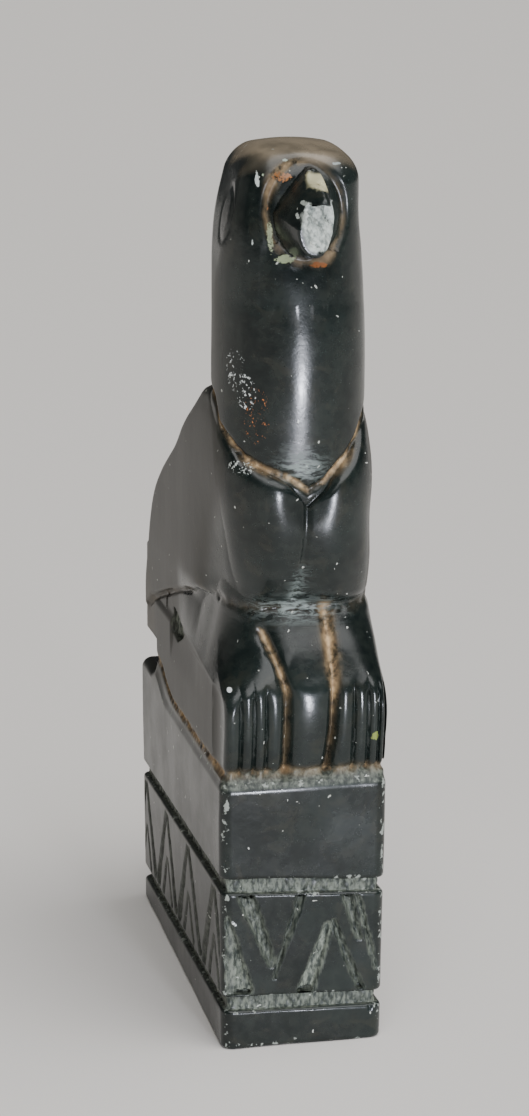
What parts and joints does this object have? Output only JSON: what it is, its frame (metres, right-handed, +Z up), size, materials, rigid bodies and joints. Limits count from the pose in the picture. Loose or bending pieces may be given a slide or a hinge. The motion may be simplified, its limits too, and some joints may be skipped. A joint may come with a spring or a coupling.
{
  "type": "soapstone bird carving",
  "caption": "Small carved soapstone bird with a column-like neck, folded wings and a broken beak, on a tall plinth with a zigzag frieze, all cut from one block.",
  "frame": {"origin": "centre of the plinth's flat underside", "axes": "+Z up, -Y forward towards the beak and toes, -X towards the bird's right wing"},
  "size_m": [0.036, 0.1026, 0.1929],
  "materials": {
    "soapstone": "dark green-black soapstone, waxed and hand polished, with pale raw stone in the chiselled lines"
  },
  "bodies": {
    "root": {"bird_carving": "soapstone"}
  },
  "joints": []
}
